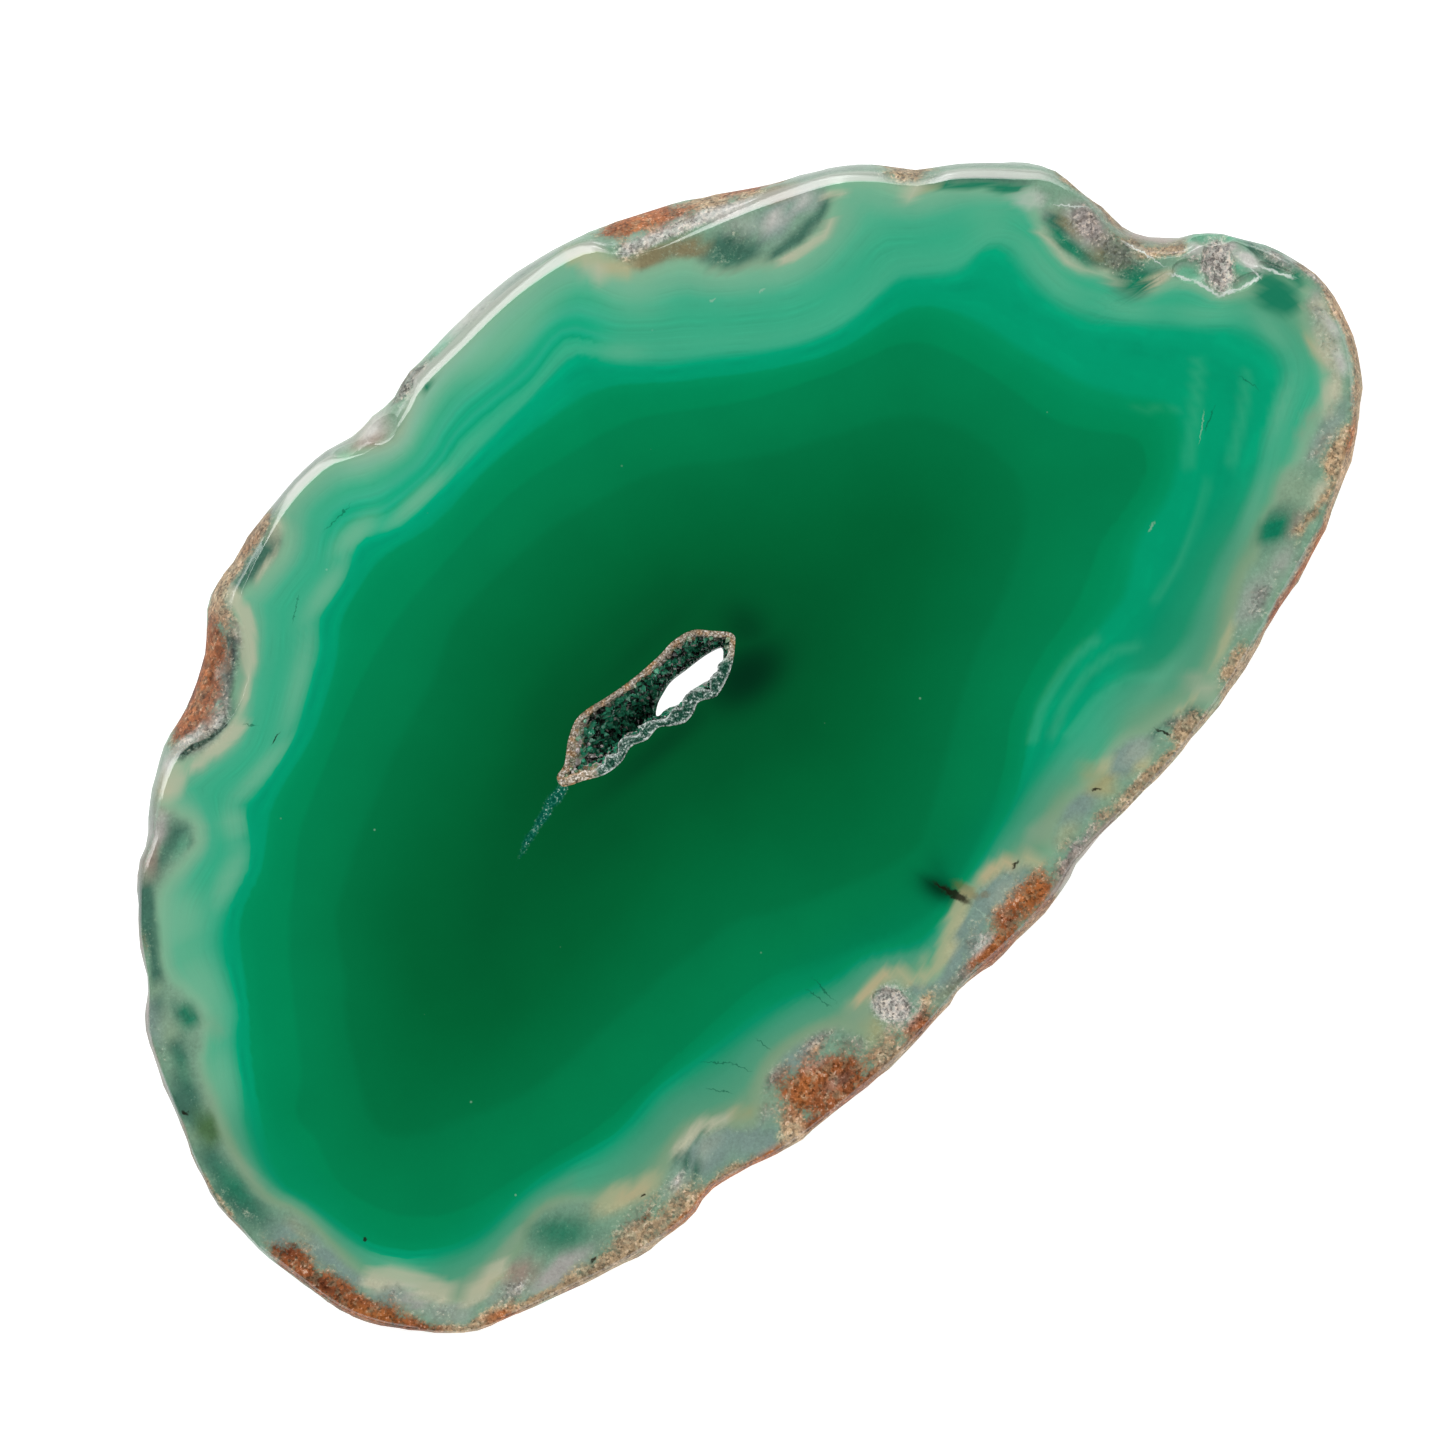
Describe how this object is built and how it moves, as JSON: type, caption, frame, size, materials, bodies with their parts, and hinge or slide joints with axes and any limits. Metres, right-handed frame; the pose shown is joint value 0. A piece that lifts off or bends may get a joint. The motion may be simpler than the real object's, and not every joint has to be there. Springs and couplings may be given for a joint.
{
  "type": "agate slice",
  "caption": "Thin polished slice of green banded agate with a natural brown rind, a chipped edge and a small crystal-lined hollow through it, for display or as a coaster.",
  "frame": {"origin": "middle of the slice's outline, on the flat back face that it rests on", "axes": "+X along the long way of the slice, towards its narrow end; +Y towards the side whose wall is chipped and shows from above; +Z out of the polished face"},
  "size_m": [0.13, 0.076, 0.0055],
  "materials": {
    "polished_agate": "gloss polished",
    "quartz_druse": "rough crystalline"
  },
  "bodies": {
    "root": {"agate_slice": "polished_agate", "crystal_crust": "quartz_druse"}
  },
  "joints": []
}
